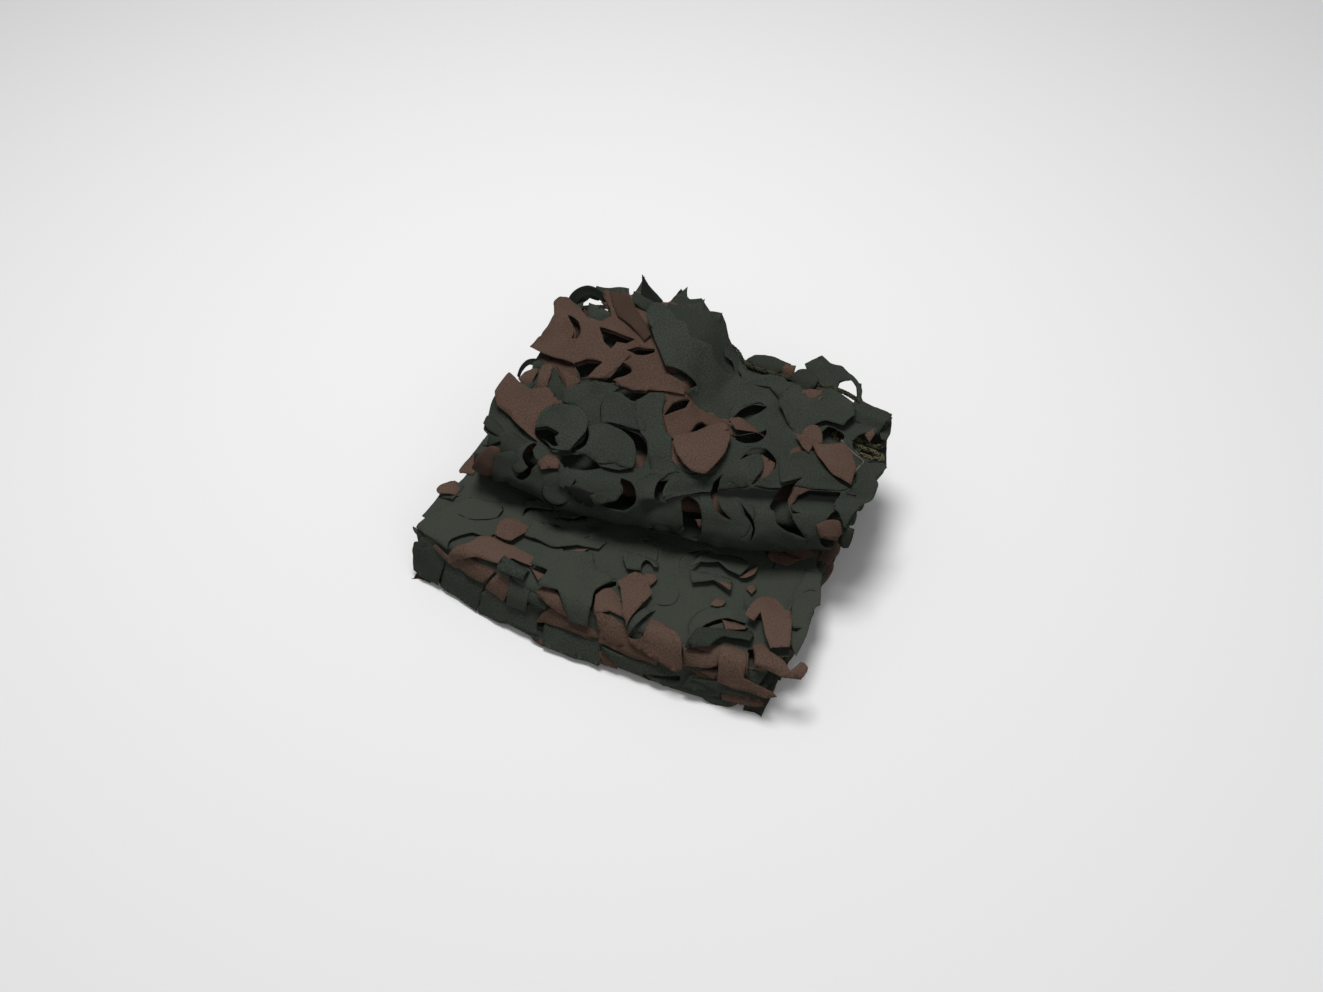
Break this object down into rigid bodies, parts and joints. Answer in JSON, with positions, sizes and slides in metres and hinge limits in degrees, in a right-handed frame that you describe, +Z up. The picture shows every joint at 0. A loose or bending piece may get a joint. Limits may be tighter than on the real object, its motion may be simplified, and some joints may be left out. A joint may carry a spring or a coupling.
{
  "type": "camouflage net, folded",
  "caption": "Folded camouflage net: leaf-cut cloth laid back and forth in layers, with its edge cord showing at the back.",
  "frame": {"origin": "bottom centre of the folded net's box, on the surface that it lies on", "axes": "+X to the right along the folds, +Y to the back, +Z up; the stepped folds and the roll face the front, -Y"},
  "size_m": [0.4166, 0.3992, 0.162],
  "materials": {
    "net_cloth": "matt coated nylon, dark green with brown patches",
    "cord_braid": "olive and black braid",
    "string": "pale twine"
  },
  "bodies": {
    "root": {"net": "net_cloth", "edge_cord": "cord_braid", "string_end": "string"}
  },
  "joints": []
}
